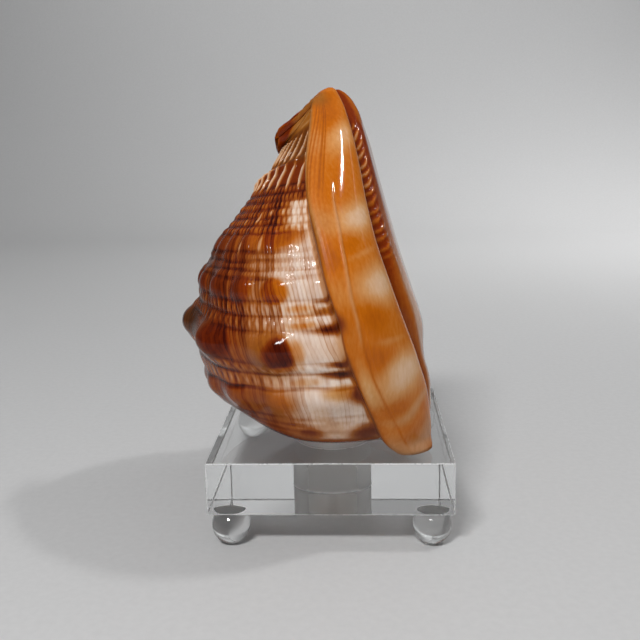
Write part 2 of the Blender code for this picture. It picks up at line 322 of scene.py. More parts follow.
def set_cement():
    n = Nodes("set_cement", 0.9, 1.46)
    cloud = n.noise(700, 4)
    tint = n.mix(n.fit(cloud, 0.35, 0.65), (0.88, 0.86, 0.83, 1), (0.97, 0.96, 0.94, 1))
    return n.finish(tint, n.fit(cloud, 0.3, 0.7, 0.35, 0.55), cloud, 0.2, 0.0001)


cement = set_cement()
for number, node in enumerate(FEET):
    glue = glue_spot(node, number)
    glue.data.materials.append(cement)
    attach(glue, "root")

# ---- the body whorl ----
# The last turn of the shell with the low spire under it: thick glazed lime that widens as
# it grows round the axis. Rows of knobs, beaded cords between them and fine ribs along
# the growth lines cross it, and it narrows upwards into the bent canal.
GROWTH = log(1.12) / 90
RISE = 6.5 / 90
SHIELD_EDGE = 72.0
SHIELD_EDGE_CANAL = 95.0
APEX_HEIGHT = 26
BODY_COLUMNS = 521

# Stations run along the axis from the spire (26) to the tip of the canal (168).
# The outline opposite the mouth: station, radius, height.
OUTLINE = [
    (26, 0, 26), (31, 9.5, 31.2), (35.5, 19.5, 36.4), (39, 31, 39.1), (43.5, 40.5, 42.8),
    (49, 44.6, 48.8), (57, 47.9, 57), (68, 52, 68), (78, 52.3, 78), (88, 50.5, 88),
    (98, 47.5, 98), (108, 42.6, 108), (117, 36.3, 117), (125, 29.9, 125),
    (132.5, 23.7, 132.5), (139, 18.9, 139), (144, 17.3, 142.3), (154, 17.5, 143.2),
    (162, 18.3, 142.4), (168, 18.8, 141.8)]
# The edge where the lip turns back on the body: station, x, y, z.
LIP_BACK = [
    (36, 17, -23, 34.5), (39, 25.5, -35.5, 33.4), (43, 20.8, -43, 40), (49, 16.3, -50.5, 51.8),
    (57, 12.6, -56.5, 62), (68, 8, -60.5, 77), (80, 5.2, -61.5, 90), (92, 1.1, -59.5, 103),
    (104, -2.2, -54, 115.5), (117, -5.6, -45, 128), (130, -6.5, -34, 140.5),
    (142, -5.5, -22.5, 153), (149, -5.1, -17, 158.6), (155, -4.5, -13.5, 161),
    (162, -10.9, -11, 155), (168, -18.7, -8.4, 149)]
# Round the mouth: station, x, y, z of the lip's front rim beside the slot, x, y, z of the
# crest of the shield behind it, and the slot's width, its depth, how far the hollow runs
# round inside the body in degrees, and the way it faces in degrees up from +X.
RIM_CREST_SLOT = [
    (36, 21, -22, 34.5, 21, -12, 35.5, 3, 1, 0, -80),
    (39, 35.5, -31, 33.6, 31, -8, 38.5, 3.2, 2.5, 0, -70),
    (43, 37.2, -31, 40.8, 36, -8, 44, 4.5, 5.5, 8, -25),
    (49, 36, -35, 54, 37.6, -9, 52, 6.5, 14, 35, -3),
    (61.5, 31.8, -41, 70.5, 35.7, -11, 63, 8.5, 24, 72, 0),
    (76, 26.6, -44, 85.5, 35.4, -12, 78, 9, 26, 76, 0),
    (90, 21.8, -44, 99.5, 31, -12, 92.5, 9, 25, 74, 0),
    (104, 17.1, -40.5, 113.5, 26, -12, 107.5, 8.5, 22, 66, 0),
    (117, 13.9, -34, 126.6, 21.7, -10, 122, 8, 18, 52, 0),
    (130, 11.4, -26, 140, 17.4, -6.5, 137, 7.5, 14, 34, 8),
    (142, 8, -18, 153.6, 13.8, -3, 150, 7, 11, 16, 22),
    (149, 5.2, -13, 160.9, 11.2, -0.5, 158, 7.5, 10, 8, 38),
    (155, 1.2, -10.5, 165.3, 7, 2.8, 162, 8.5, 11, 4, 56),
    (162, -8.6, -9.5, 158, -6, 6, 157.5, 9, 8.2, 0, 75),
    (168, -17.8, -7.5, 151.2, -17.8, 6, 151.4, 7.5, 4.2, 0, 95)]
# Rows of knobs: station, half height, pitch, angle of one knob, half width in degrees,
# relief of the knobs and of the ridge under them, and how much higher the row sits where
# the whorl is younger.
KNOB_ROWS = [
    (55.5, 4.2, 20.5, 251, 6.5, 1.7, 0.8, 1), (73, 6.3, 31, 252, 7.6, 4.6, 1.3, 5.5),
    (93.5, 4.8, 15.5, 252, 5.2, 2.1, 0.6, 2), (108, 5.2, 11, 243, 4, 1.1, 0.4, 0)]
CANAL_RIDGE = (131.4, 0.11, 211, 1.2, 1.2)
# Points between the marks round the mouth, from the lip's root to the shield's edge, then
# the mark before each of them and the share of the way to the next.
MOUTH_STEPS = [10, 20, 24, 24, 10, 14, 14, 12, 10, 4, 10, 12, 14, 16, 20, 24, 22, 22]
MOUTH = [(i, step / count) for i, count in enumerate(MOUTH_STEPS) for step in range(count)][1:]


def through(knots, values, where):
    """A smooth curve through the given stations, with finite-difference slopes."""
    knots = np.asarray(knots, float)
    values = np.asarray(values, float).reshape(len(knots), -1)
    where = np.clip(np.atleast_1d(where), knots[0], knots[-1])
    slope = np.gradient(values, knots, axis=0)
    i = np.clip(np.searchsorted(knots, where) - 1, 0, len(knots) - 2)
    h = knots[i + 1] - knots[i]
    t = ((where - knots[i]) / h)[:, None]
    h = h[:, None]
    return ((2 * t**3 - 3 * t**2 + 1) * values[i] + (t**3 - 2 * t**2 + t) * h * slope[i]
            + (3 * t**2 - 2 * t**3) * values[i + 1] + (t**3 - t**2) * h * slope[i + 1])


def station(table, w):
    rows = np.array(table, float)
    return through(rows[:, 0], rows[:, 1:], w)[0]


def blend(start, end, x):
    t = np.clip((x - start) / (end - start), 0, 1)
    return t * t * (3 - 2 * t)


def fade(start, end, x):
    return 1 - blend(start, end, x)


def off_knob(angle, first, pitch):
    """How many degrees each angle lies from the nearest knob of a row."""
    return (angle - first + pitch / 2) % pitch - pitch / 2


def toward(start, end, share):
    return start * (1 - share) + end * share


def spot(x, half, y, tall, edge):
    """1 in the middle of a rounded spot and 0 outside it."""
    return np.exp(-((x / half)**2 + (y / tall)**2)**edge)


def knob_relief(angle, w):
    """Height of the knobs and of the ridge under the canal above the plain whorl."""
    near_lip = 1 - 0.3 * blend(225, 262, angle)
    late = blend(SHIELD_EDGE + 3, SHIELD_EDGE + 14, angle) * fade(278, 286, angle)
    total = np.zeros_like(angle)
    for centre, half, pitch, first, wide, high, ridge, lift in KNOB_ROWS:
        up = (w - centre - lift * blend(245, 190, angle)) / half
        dome = spot(up, 1, off_knob(angle, first, pitch), wide, 1.35)
        total += near_lip * (high * dome + ridge * np.exp(-up**2))
    low, climb, start, half, high = CANAL_RIDGE
    total += high * bell(w - low, climb * (angle - start), half)
    return total * late * np.exp(GROWTH * (angle - 230))


def whorl(angle, w, raised=True):
    """Points of the body whorl at the given angles round the axis, in degrees."""
    radius, height = station(OUTLINE, w)
    run = station(OUTLINE, min(w + 0.5, 168)) - station(OUTLINE, max(w - 0.5, 26))
    run /= np.hypot(*run) + 1e-9
    widening = blend(31, 48, w) + 0.35 * bell(w, 55, 5.5)
    grown = radius * np.exp(GROWTH * (angle - 180) * widening)
    climbed = height + RISE * (angle - 180) * blend(38, 58, w)**1.5
    base = blend(34, 43, w) * fade(44, 51, w)
    climbed += base * (5.6 * fade(214, 262, angle) - 1.4) * blend(90, 170, angle)
    bump = knob_relief(angle, w) if raised else 0
    out = grown + bump * run[1]
    turn = np.radians(angle)
    return np.stack([out * np.cos(turn), out * np.sin(turn), climbed - bump * run[0]], 1)


def body_part(angle, w, root, edge):
    """The whorl at one station, narrowing into the canal near the top."""
    points = whorl(angle, w)
    canal = blend(140, 154, w)
    if canal == 0:
        return points
    radius, height = station(OUTLINE, w)
    back = np.array([-radius, 0, height])
    side = np.where(angle >= 180, (angle - 180) / (angle[-1] - 180),
                    (180 - angle) / (180 - angle[0]))
    ends = np.where((angle >= 180)[:, None], root, edge)
    swing = side * pi / 2
    wall = back + (ends - back) * (1 - np.cos(swing))[:, None]
    wall[:, 1] = ends[:, 1] * np.sin(swing) * 1.06
    return toward(points, wall, canal)


def mouth_marks(w, body, root_angle, rim, back, crest, slot, canal, grown, tip):
    """Points round the mouth at one station: over the lip, into the slot, round the
    hollow behind it, out along the columella and over the shield to its edge."""
    width, depth, reach, lean = slot
    lean = radians(lean)
    outward = np.array([cos(lean), 0, sin(lean)])
    across = np.array([0, 1, 0])
    edge = body[0]

    off = np.array([rim[1] - back[1], back[0] - rim[0], 0])
    off *= (-1 if off[1] > 0 else 1) / np.linalg.norm(off)
    swell = 3.5 * (1 - canal) * grown + 0.6
    marks = [body[-1], back]
    marks += [toward(back, rim, share) + off * swell * full
              for share, full in ((0.28, 0.95), (0.62, 1), (0.88, 0.55))]
    inner = (3.6 * grown + 0.4) * (1 - 0.3 * tip)
    marks += [rim, rim - outward * 1.6 * grown + across * inner]

    trough = [rim - outward * (1.6 * grown + down * depth) + across * (inner + over * width)
              for down, over in ((0.25, 0), (0.7, 0.1), (1, 0.35), (1, 0.7), (0.7, 1), (0.25, 1))]
    skin = 5.2 * station(OUTLINE, w)[0] / 52 + 0.6
    room = 14.5 * station(OUTLINE, w)[0] / 52
    first = root_angle - 6
    turns = np.array([first, first - 0.45 * reach, first - reach, first - reach - 1,
                      first - 0.45 * reach, first + 4])
    shrink = skin + np.array([0.25, 0, 0.3, 0.8, 1.05, 1.3]) * room
    chamber = whorl(turns, w, raised=False)
    flat = np.hypot(chamber[:, 0], chamber[:, 1])
    chamber[:, :2] *= ((flat - shrink) / flat)[:, None]
    open_up = blend(43, 54, w) * fade(124, 136, w)
    marks += [toward(plain, hollow, open_up) for plain, hollow in zip(trough, chamber)]

    part = 0.35 * (crest[0] - rim[0]) * outward[0]
    part += 0.35 * (crest[2] - rim[2]) * outward[2] * canal
    columella = rim + outward * (part - 0.8) + across * (inner + width)
    front = toward(np.array([1, 0, 0]), outward, canal)
    fill = (front * 5.5 + across * 5) * grown * (1 - canal)
    marks += [columella, toward(columella, crest, 0.28) + front * 1.6 * grown, crest,
              toward(crest, edge, 0.38) + fill, toward(crest, edge, 0.75) + fill * 0.9, edge]
    return np.array(marks)


def settle_on_spire(marks, w, root_angle, grown):
    """Low down, the marks round the mouth come to lie on the cone of the spire."""
    swing = np.degrees(np.arctan2(marks[:, 1], marks[:, 0])) % 360
    swing[swing < 180] += 360
    swing[0] = root_angle
    for i in range(1, len(swing)):
        swing[i] = max(swing[i], swing[i - 1] + 0.5)
    latest = SHIELD_EDGE + 360 - 0.5 * np.arange(len(swing))[::-1]
    swing[1:] = np.minimum(swing, latest)[1:]
    swing[-1] = SHIELD_EDGE + 360
    cone = whorl(swing, w, raised=False)
    start = whorl(np.array([SHIELD_EDGE]), w, raised=False)[0]
    share = np.linspace(0, 1, len(marks))
    flat = np.hypot(cone[:, 0], cone[:, 1])
    even = toward(flat, np.hypot(start[0], start[1]), share)
    cone[:, :2] *= (even / flat)[:, None]
    cone[:, 2] = toward(cone[:, 2], start[2], share)
    return toward(cone, marks, grown)


def shell_loop(w):
    """One closed loop round the whole shell, and the angles of its body columns."""
    back = station(LIP_BACK, w)
    rim, crest, slot = np.split(station(RIM_CREST_SLOT, w), [3, 6])
    canal, grown, tip = blend(140, 154, w), blend(35, 41, w), blend(150, 168, w)
    root_angle = degrees(atan2(back[1], back[0])) % 360 - 1.5 - 1.5 * tip
    edge_angle = SHIELD_EDGE + (SHIELD_EDGE_CANAL - SHIELD_EDGE) * canal
    angles = np.linspace(edge_angle, root_angle, BODY_COLUMNS)
    root = back + np.array([0.5, 3 - 2.4 * blend(145, 154, w), -1])
    edge = crest + np.array([-3.5, 4.5, -2.5]) * (1 - 0.5 * tip)
    body = body_part(angles, w, root, edge)
    marks = mouth_marks(w, body, root_angle, rim, back, crest, slot, canal, grown, tip)
    if grown < 1:
        marks = settle_on_spire(marks, w, root_angle, grown)
    inset = (root_angle - edge_angle) / 13
    near_ends = np.array([edge_angle, edge_angle + inset, root_angle - inset, root_angle])
    _, after, before, _ = body_part(near_ends, w, root, edge)
    long_marks = np.vstack([before, marks, after])
    gaps = np.linalg.norm(np.diff(long_marks, axis=0), axis=1)
    knots = np.concatenate([[0], np.cumsum(gaps**0.5 + 1e-6)])
    where = [knots[i + 1] + (knots[i + 2] - knots[i + 1]) * share for i, share in MOUTH]
    return np.vstack([body, through(knots, long_marks, where)]), angles


LEVELS = np.concatenate([np.linspace(26.6, 43.4, 26), np.arange(44, 140.6, 0.7),
                         np.linspace(141.3, 168, 22)])
loops = [shell_loop(w) for w in LEVELS]
SURFACE = np.array([points for points, _ in loops])
ANGLE = np.array([angles for _, angles in loops])

# Spiral cords between the knob rows: height, half width, relief, bead pitch in degrees,
# relief of the beads, angle of one bead.
CORDS = [
    (61.6, 1.9, 0.22, 4.2, 0.2, 252), (66.7, 1.1, 0.15, 4.2, 0.16, 253),
    (82, 1.5, 0.2, 3.2, 0.24, 252), (86.8, 1.5, 0.22, 3.2, 0.24, 251),
    (98.2, 1.1, 0.15, 1.6, 0.24, 252.8), (101, 1.1, 0.15, 1.6, 0.24, 252.8),
    (103.8, 1.1, 0.15, 1.6, 0.24, 252.8),
    (112.6, 1.1, 0.15, 3.2, 0.26, 243), (115.3, 1.1, 0.15, 3.2, 0.26, 244),
    (118, 1.1, 0.15, 3.2, 0.26, 243), (120.7, 1.1, 0.15, 3.2, 0.24, 244),
    (123.3, 1.1, 0.12, 3.2, 0.22, 243), (125.7, 1, 0.12, 3.2, 0.2, 244)]
# Spiral grooves between them: height, half width, depth.
GROOVES = [
    (45.2, 0.4, 0.15), (46.7, 0.4, 0.12), (48.4, 0.35, 0.08), (50, 0.4, 0.12),
    (59, 0.5, 0.35), (64.4, 0.5, 0.4), (68.6, 0.5, 0.25), (79.6, 0.6, 0.4),
    (84.5, 0.5, 0.4), (89.3, 0.6, 0.45), (96.7, 0.5, 0.3), (99.6, 0.4, 0.22),
    (102.4, 0.4, 0.22), (105.3, 0.5, 0.35), (111.2, 0.5, 0.4),
    *((at, 0.45, 0.3) for at in (114, 116.6, 119.3, 122, 124.5)), (127.2, 0.5, 0.3)]
# How much higher a row sits on the younger part of the whorl: station, rise.
ROW_RISE = [(26, 0), (45, 0), (55.5, 1), (65, 2.6), (73, 5.5), (84, 4.4), (93.5, 2),
            (104, 0.5), (110, 0), (168, 0)]
COLUMN_STEP = 0.4
RIB_PITCH = 1.6
CANAL_RIB_PITCH = 9.8

W = LEVELS[:, None] + 0 * ANGLE
GROWN = SHIELD_EDGE + COLUMN_STEP * np.arange(BODY_COLUMNS) + 0 * ANGLE


def row_height(w, angle):
    """Height in the pattern of rows, which lie lower near the lip."""
    rise = np.interp(w, *np.array(ROW_RISE).T)
    return w - rise * blend(245, 190, angle)


def wander(a, b, seed=0):
    """A slow uneven wave between -1 and 1 over two directions."""
    return (np.sin(a + 1.7 * np.sin(b * 0.6 + seed))
            + np.sin(b * 1.3 + 2.1 * np.sin(a * 0.5 - seed))
            + np.sin(0.7 * a - 0.9 * b + 3 * seed)) / 3


def chance(number, seed=0):
    """An even spread of values from 0 to 1, one for each whole number."""
    return (np.sin(np.floor(number) * 12.9898 + seed * 78.233) * 43758.5453) % 1


def between(x, low, high, soft):
    """1 inside a range, fading to 0 over a soft margin on both sides."""
    return blend(low - soft, low + soft, x) * fade(high - soft, high + soft, x)


def knob_mask(angle, row, centre, half, pitch, first, wide):
    return spot(row - centre, half, off_knob(angle, first, pitch), wide, 1.6)


def beads(grown, pitch, first):
    return 0.5 + 0.5 * np.cos(2 * pi * (grown - first) / pitch)


ROW = row_height(W, ANGLE)
PLAIN_KNOBS = np.array([knob_relief(a, w) for a, w in zip(ANGLE, LEVELS)])
OFF_KNOBS = 1 - np.clip(PLAIN_KNOBS / 3, 0, 0.8)
# Fine ribs, counted in degrees along the whorl, lean with the lip and stand more upright
# low down. Under the canal, where it narrows, there are few of them, high and curved.
ALONG = GROWN + 0.7 * (ANGLE - GROWN) * fade(64, 80, W) + 0.25 * wander(ANGLE / 5, W / 8, 5)
RIBS = beads(ALONG, RIB_PITCH, SHIELD_EDGE)**1.5
CANAL_RIBS = beads(GROWN - 0.3 * (W - 131) - 0.03 * (W - 131)**2, CANAL_RIB_PITCH, 254)**7
CANAL_RIBS *= blend(124.5, 128, W) * fade(144.5, 147, W) * (1 - 0.8 * bell(W, 134.5, 1.5))


def sculpture(angle, w, row, grown):
    """Relief of the fine ribs, cords, beads, grooves and canal ribs, in millimetres, and
    how deep each point lies in a groove, from 0 to 1."""
    uneven = 1 + 0.4 * wander(angle / 9, w / 7, 1)
    ribbed = blend(52, 60, w) * fade(122, 130, w)
    size = 0.5 + chance(ALONG / RIB_PITCH) * blend(-0.6, 0.6, wander(grown, w / 12, 4))
    strong = 0.11 + 0.11 * between(w, 79, 105, 2)
    high = -strong * size * ribbed * RIBS * OFF_KNOBS
    deep = np.zeros_like(w)
    for at, half, relief, pitch, bead, first in CORDS:
        high += bell(row, at, half) * (relief + bead * (beads(ALONG, pitch, first) - 0.4) * uneven)
    for at, half, depth in GROOVES:
        on = bell(row + 0.3 * wander(angle / 4, w * 0, at), at, half)
        on = on * (0.75 + 0.25 * wander(angle / 3, w / 5, at)) * (OFF_KNOBS if at > 65 else 1)
        high -= on * depth
        deep += on
    high += 0.9 * CANAL_RIBS
    body = blend(44, 48, w) * fade(144, 148, w)
    # fine lines run along the outside of the canal up to its rim
    outside = blend(148, 151, w) * (0.12 * wander(w * 2.2, grown / 9, 2) - 0.1)
    return high * body + outside, np.clip(deep * body, 0, 1)


def surface_normals(points):
    """Outward normals of the closed grid of levels and columns."""
    around = np.roll(points, -1, axis=1) - np.roll(points, 1, axis=1)
    along = np.gradient(points, axis=0)
    normals = np.cross(around, along)
    return normals / (np.linalg.norm(normals, axis=2, keepdims=True) + 1e-12)


RELIEF, DEEP = sculpture(ANGLE, W, ROW, GROWN)

# The pattern is three fields: how much pigment, with painted shade in places (0 pinkish
# white, 1 near black), how far it turns orange, and how far it turns olive.
# The ground by angle: angle, pigment, warmth, olive.
GROUND = [
    (72, 0.45, 0.8, 0.1), (88, 0.18, 0.6, 0), (100, 0.3, 0.7, 0), (116, 0.6, 0.75, 0.2),
    (132, 0.72, 0.6, 0.4), (148, 0.4, 0.7, 0.1), (160, 0.25, 0.6, 0), (172, 0.55, 0.75, 0.2),
    (185, 0.75, 0.6, 0.4), (205, 0.8, 0.5, 0.3), (222, 0.79, 0.48, 0.12),
    (231, 0.74, 0.42, 0), (239, 0.65, 0.36, 0), (245, 0.5, 0.3, 0), (251, 0.31, 0.26, 0),
    (258, 0.16, 0.2, 0), (268, 0.08, 0.12, 0), (290, 0.1, 0.12, 0.1)]
# Patches: angle, row height, half widths, strength, pigment, warmth, olive.
PATCHES = [
    # brown dashes where the cords run up to the lip
    (276, 88.9, 9, 1.1, 0.95, 0.84, 0.5, 0.2), (272, 85.6, 7, 1.3, 0.9, 0.66, 0.8, 0.3),
    (279, 82.3, 5, 2.2, 0.95, 0.95, 0.4), (276, 79.6, 9.5, 1.9, 0.95, 0.92, 0.4),
    (277.5, 67.9, 8, 1.3, 0.97, 0.95, 0.5, 0.1), (276, 63.9, 8, 1.7, 0.97, 0.92, 0.5, 0.2),
    (277, 57.6, 8, 2.3, 1, 0.38, 0.9, 0.4), (283, 56.4, 4.5, 3, 1, 0.9, 0.5, 0.1),
    (287, 46.5, 9, 2, 0.9, 0.85, 0.5, 0.2), (263, 46.3, 5.5, 1.3, 0.85, 0.8, 0.5, 0.1),
    # orange between the cords
    (262, 84.3, 4, 1.4, 0.6, 0.42, 0.85), (263, 81.5, 5, 1.3, 0.8, 0.52, 0.9),
    (261, 87, 5, 1.3, 0.7, 0.48, 0.9), (263, 61.5, 6, 1.6, 0.6, 0.36, 0.85),
    (256, 67, 5, 1.2, 0.6, 0.42, 0.8),
    # reddish patch and its pale border below the canal
    (248, 109.6, 13.5, 3.8, 0.97, 0.72, 0.95), (241.3, 107.5, 1, 3, 0.8, 0.16, 0.4),
    (230.5, 106.5, 0.9, 1.9, 0.8, 0.16, 0.4), (218, 107, 0.8, 1.7, 0.7, 0.25, 0.4),
    (266, 108.5, 2.6, 4.5, 0.9, 0.08, 0.3), (240.5, 118.2, 0.9, 1.3, 0.85, 0.12, 0.4),
    (233, 116.5, 0.9, 1.4, 0.85, 0.12, 0.4), (222, 115.5, 0.8, 1.1, 0.7, 0.2, 0.4),
    (247, 118.2, 1.2, 1.3, 0.8, 0.3, 0.6),
    # pinkish ground above the small knobs, and orange beside a dark one
    (247, 101.5, 9, 3.4, 0.7, 0.34, 0.3), (253, 98.2, 7, 1.8, 0.75, 0.16, 0.2),
    (268, 73.5, 7, 4.5, 0.7, 0.2, 0.3), (261.5, 73, 2.4, 4.2, 0.75, 0.5, 0.85),
    # a tan shade low down near the lip, and darker ground left of the great knob
    (271, 47.8, 6, 2.2, 0.7, 0.32, 0.25, 0.2), (238, 69, 6.5, 3.2, 0.6, 0.74, 0.6, 0.05),
    # a pinkish orange cloud low down
    (268, 51.5, 4, 2.6, 0.5, 0.24, 0.7)]


def painter(fields):
    """Paints the pigment and shade field, warmth and olive over the fields, as strongly as each
    point says.
    """
    def paint(strength, pigment_and_shade, warmth, olive=0):
        for field, value in zip(fields, (pigment_and_shade, warmth, olive)):
            field += (value - field) * strength
    return paint


def paint_patches(paint, table, across, up, edge):
    for at, up_at, half, tall, strength, *colour in table:
        paint(strength * spot(across - at, half, up - up_at, tall, edge), *colour)


def whorl_pattern_and_shade(angle, w, row, grown, deep):
    across = angle + 1.2 * wander(angle / 5, w / 4, 0.3)
    up = row + 0.35 * wander(angle / 4, w / 5, 1.3)
    table = np.array(GROUND).T
    shifted = across + 4 * wander(w / 6, angle * 0.02, 2) * fade(225, 250, angle)
    fields = [np.interp(shifted, table[0], values) for values in table[1:]]
    paint = painter(fields)
    younger = fade(230, 262, angle)
    fields[1] += 0.2 * (chance(ALONG / RIB_PITCH, 3) - 0.5)
    # rows of knobs: orange ones low down, dark ones with an orange rim, small brown ones
    low_knobs = knob_mask(across, up, 54.2, 3.4, 20.5, 253, 5.5)
    low_knobs *= 1 - 0.9 * blend(258, 264, angle)
    paint(0.85 * low_knobs, 0.52, 0.9, 0.3 * younger)
    rim = knob_mask(across, up, 72, 7.6, 31, 250.5, 7.8)
    paint(0.85 * rim, 0.66 + 0.12 * younger, 0.9, 0.5)
    # the dark cores lie past the tops of the knobs, on two of them further
    past = 4.5 + 3 * fade(236, 246, angle) + 3 * fade(208, 218, angle)
    past -= 6 * fade(178, 188, angle)
    dark = knob_mask(across - past, up - 2.5 * younger, 72, 6.4, 31, 250.5, 5.7 + 2 * younger)
    paint(0.98 * blend(0.2, 0.9, dark), 0.95, 1, 0.7 * fade(205, 215, angle))
    small = knob_mask(across, up, 92.6, 4.2 + 0.9 * younger, 15.5, 251.8, 5.5 + 0.9 * younger)
    small = blend(0.25, 0.7, small) * (1 - 0.95 * blend(256, 261, angle))
    paint(0.95 * small, 0.54 + 0.36 * younger, 0.95, 0.1 * younger)
    # bands that go right round
    paint(0.85 * between(w, 105.5, 112, 1) * fade(238, 242, angle), 0.76, 0.6, 0.1)
    upper = between(w, 112, 122, 1)
    paint(0.85 * upper * fade(247, 254, across), 0.78, 0.75, 0.05)
    paint(0.9 * upper * blend(248, 256, across), 0.12, 0.4)
    paint(0.92 * blend(120.5, 123, w), 0.8, 0.65, 0.05)
    paint(0.9 * blend(133, 136, w), 0.78, 0.5, 0.6)
    streak = 0.12 * wander(w * 1.8, grown / 7, 3)
    paint(blend(145.5, 147.5, w), 0.46 + 0.3 * blend(258, 236, grown) + streak, 0.75, 0.6)
    # painted shadow: a dark line along the foot of the canal's wall, where it stands out over the
    # whorl
    paint(0.8 * bell(w, 147, 1.1), 0.9, 0.5, 0.5)
    # past a fold the end of the canal is dark red, with an orange-red rim
    fold = w + 1.2 * wander(grown / 8, w / 5, 0.8)
    paint(blend(162, 163.2, fold), 0.86, 1)
    paint(blend(166, 167.5, fold), 0.66, 1)
    # painted shade: darker below the shoulder, where the whorl turns under, on the side away from
    # the lip
    underside_shade = fade(57, 60, row) * fade(247, 263, angle)
    paint(0.6 * underside_shade, 0.74, 0.6, 0.05)
    paint(0.6 * between(row, 59, 68, 1) * fade(240, 262, angle), 0.54, 0.5)
    # painted shade: darker low down where the whorl turns under, and near black in the lowest band
    # above the spire
    low = fade(48, 52, row)
    paint(0.7 * low * fade(250, 268, angle), 0.66, 0.55, 0.1)
    paint(0.75 * fade(44.2, 45.8, row) * blend(40, 42, w), 0.88, 0.5, 0.1)
    paint_patches(paint, PATCHES, across, up, 1.8)
    # beads are paler than the gaps between them
    for at, half, _, pitch, _, first in CORDS:
        on = bell(row, at, half * 0.8)
        contrast = 0.5 + 0.5 * np.maximum(younger, blend(95, 112, row))
        fields[0] += on * (0.36 * (1 - beads(ALONG, pitch, first))**2.5 - 0.14) * contrast
    # painted shade: darker in the spiral grooves and in the dips between the fine ribs
    fields[0] += (0.3 + 0.1 * between(w, 90, 106, 2)
                  + 0.2 * between(row, 58, 66, 1)) * deep * (0.7 + 0.3 * younger)
    fields[0] += 0.12 * RIBS * between(w, 79, 106, 2) * OFF_KNOBS
    # painted shade: a dark line in the corner under the lip
    shade = 0.65 - 0.3 * blend(64, 70, w) - 0.3 * between(w, 70, 77, 1)
    paint(shade * blend(279, 279.8, grown) * blend(45, 50, w), 0.76, 0.8, 0.3)
    paint(0.95 * np.clip(CANAL_RIBS * 1.5, 0, 1), 0.1, 0.45, 0.1)
    return [np.clip(field, 0, 1) for field in fields]


WHORL_PATTERN_AND_SHADE = whorl_pattern_and_shade(ANGLE, W, ROW, GROWN, DEEP)


def grid_piece(name, points, normals):
    """A mesh from levels and columns of points, closed to a point at the apex."""
    levels, columns = points.shape[:2]
    corner = np.arange(levels * columns).reshape(levels, columns)
    quads = np.stack([corner[:-1, :-1], corner[:-1, 1:], corner[1:, 1:], corner[1:, :-1]], 2)
    faces = quads.reshape(-1, 4).tolist()
    apex = levels * columns
    faces += [(apex, corner[0, j + 1], corner[0, j]) for j in range(columns - 1)]
    spots = np.vstack([points.reshape(-1, 3), [[0, 0, APEX_HEIGHT]]]) * MM
    data = bpy.data.meshes.new(name)
    data.from_pydata(spots.tolist(), [], faces)
    data.shade_smooth()
    data.normals_split_custom_set_from_vertices(
        np.vstack([normals.reshape(-1, 3), [[0, 0, -1]]]).tolist())
    return placed(data, AXIS)


# ---- the lip, the slot and the shield ----
# The same wall turned back on itself: a thick rounded outer lip with teeth along its
# inner edge, the slot, the folded columella facing it, and the broad shield of smooth
# glaze that spreads from there over the whorl. All of it is one growth with the whorl.
COLUMELLA = 13
TOOTH_PITCH = 3.7
FOLD_PITCH = 3.1

# The place of each point round the mouth: 0 at the lip's root, 18 at the shield's edge.
PLACE = np.tile([i + share for i, share in MOUTH], (len(LEVELS), 1))
MW = LEVELS[:, None] + 0 * PLACE
# Where the growth ridge runs along the lip: station, place round the mouth.
LIP_RIDGE = [(36, 2.1), (44, 1.87), (49, 1.7), (56, 1.62), (62, 1.56), (73, 1.62), (86, 1.7),
             (92, 1.83), (98, 1.94), (104, 2.02), (110, 2.11), (117, 2.17), (130, 2.27),
             (136, 2.35), (144, 2.3), (155, 2.3), (168, 2)]
# Dark growth lines down the upper part of the lip: strength, half width, and the place
# round the mouth of each at stations 114, 121, 128, 136, 143 and 151.
LIP_LINES = [
    (1, 0.04, 0.95, 1.05, 1.12, 1.28, 1.42, 1.62), (1, 0.04, 1.1, 1.2, 1.3, 1.47, 1.64, 1.86),
    (0.6, 0.04, 1.3, 1.42, 1.52, 1.66, 1.8, 2), (1, 0.06, 1.5, 1.62, 1.74, 1.86, 1.98, 2.16),
    (1, 0.04, 1.66, 1.78, 1.9, 2.02, 2.14, 2.32)]


def mouth_relief(place, w):
    """Teeth, folds, the ridge and groove along the lip and its fine growth lines, in
    millimetres."""
    long = blend(44, 52, w) * fade(146, 154, w)
    teeth = bell(place, 6.6, 0.85) * beads(w + 0.15 * np.sin(w), TOOTH_PITCH, 50)**1.5
    slant = w - 4.5 * (place - COLUMELLA) + 0.3 * np.sin(w * 0.9)
    seen = blend(90, 104, w) * fade(137, 142, w)
    folds = bell(place, 13, 0.5) * beads(slant, FOLD_PITCH, 50)**2.6 * seen
    beside = place - np.interp(w, *np.array(LIP_RIDGE).T)
    ridge = bell(beside, -0.02, 0.07) * fade(116, 127, w)
    groove = bell(beside, 0.09, 0.05) * (0.7 + 0.3 * wander(w / 5, place * 0, 1.1))
    groove *= fade(108, 120, w)
    high_up = blend(114, 124, w)
    lines = bell(beside, -0.6, 0.42) * beads(place, 0.17, 0)**1.5
    lines += 0.6 * bell(beside, -0.1, 0.35) * beads(place + w / 300, 0.23, 0.05)**2
    lines *= 0.5 - 0.4 * high_up
    for strength, wide, *places in LIP_LINES:
        line = np.interp(w, (114, 121, 128, 136, 143, 151), places)
        lines += high_up * fade(149, 154, w) * strength * bell(place, line, wide)
    high = long * (0.9 * teeth + 0.5 * folds + 0.35 * ridge - 0.12 * groove - 0.16 * lines)
    high += 0.12 * wander(place * 2, w / 9, 0.7) * long
    # the canal's rim is thick and gently frilled
    frill = 1 + 0.25 * np.sin(w * 1.7) + 0.15 * np.sin(w * 3.1 + 1)
    high += 0.8 * blend(146, 154, w) * bell(place, 2.6, 2.6) * frill
    return high, teeth * long, folds * long, ridge * long, groove * blend(42, 44, w), lines * long


MOUTH_HIGH, *MOUTH_LINES = mouth_relief(PLACE, MW)

